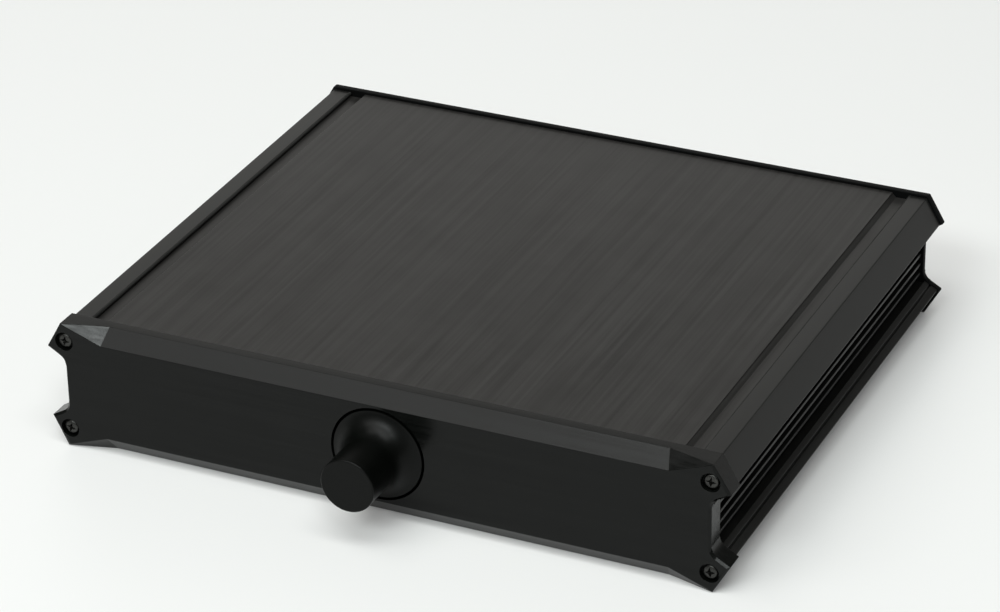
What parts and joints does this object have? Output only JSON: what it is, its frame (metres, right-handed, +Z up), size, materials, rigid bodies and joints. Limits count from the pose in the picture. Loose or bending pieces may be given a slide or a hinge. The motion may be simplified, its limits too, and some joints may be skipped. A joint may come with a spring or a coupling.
{
  "type": "passive preamplifier",
  "caption": "Low audio case with bone-shaped end panels, finned side rails, sliding covers, a trumpet-shaped volume knob in front and phono sockets behind.",
  "frame": {"origin": "centre of the outer box's bottom face, on the surface that the foot pads stand on", "axes": "+X to the right seen from the front, +Y from the knob towards the sockets, +Z up"},
  "size_m": [0.26, 0.2524, 0.0497],
  "materials": {
    "panel_black_anodised": "satin black anodised, brushed along its length",
    "rear_black_anodised": "matte black anodised",
    "rail_black_anodised": "satin black anodised extrusion",
    "cover_brushed_black": "satin black anodised, brushed front to back",
    "knob_black_anodised": "turned, satin black anodised",
    "screw_black_steel": "black zinc-plated steel",
    "foot_rubber": "matte",
    "shaft_steel": "turned, bright",
    "zinc_casting": "die-cast zinc, nickel plated",
    "plated_brass": "nickel plated",
    "housing_resin": "moulded",
    "board_phenolic": "laminated sheet",
    "tinned_brass": "tinned",
    "rotor_acetal": "moulded",
    "spring_bronze": "rolled spring strip",
    "socket_gold": "gold plated",
    "socket_ptfe": "turned",
    "washer_white_nylon": "moulded",
    "washer_red_nylon": "moulded",
    "washer_black_nylon": "moulded",
    "cable_pvc": "extruded jacket"
  },
  "bodies": {
    "case": {"front_panel": "panel_black_anodised", "rear_panel": "rear_black_anodised", "left_rail": "rail_black_anodised", "right_rail": "rail_black_anodised", "top_cover": "cover_brushed_black", "bottom_cover": "cover_brushed_black", "front_screws": "screw_black_steel", "rear_screws": "screw_black_steel", "foot_pads": "foot_rubber", "bush_plate": "zinc_casting", "bush_washer": "shaft_steel", "bush_nut": "plated_brass", "front_housing": "housing_resin", "rear_housing": "housing_resin", "front_track_board": "board_phenolic", "rear_track_board": "board_phenolic", "track_terminals": "tinned_brass", "bearing_plate": "zinc_casting", "tie_screws": "shaft_steel", "socket_shells": "socket_gold", "socket_insulators": "socket_ptfe", "socket_contacts": "socket_gold", "left_channel_washers": "washer_white_nylon", "right_channel_washers": "washer_red_nylon", "inner_washers": "washer_black_nylon", "earth_tags": "tinned_brass", "socket_nuts": "socket_gold", "input_cables": "cable_pvc", "output_cables": "cable_pvc"},
    "control": {"volume_knob": "knob_black_anodised", "knob_grub_screw": "screw_black_steel", "control_shaft": "shaft_steel", "shaft_clip": "shaft_steel", "front_rotor": "rotor_acetal", "rear_rotor": "rotor_acetal", "wiper_springs": "spring_bronze"}
  },
  "joints": [
    {"name": "volume_turn", "type": "hinge", "parent": "case", "child": "control", "pos_m": [0, -0.1028, 0.02505], "axis": [0, 1, 0], "range_deg": [0, 300]}
  ]
}
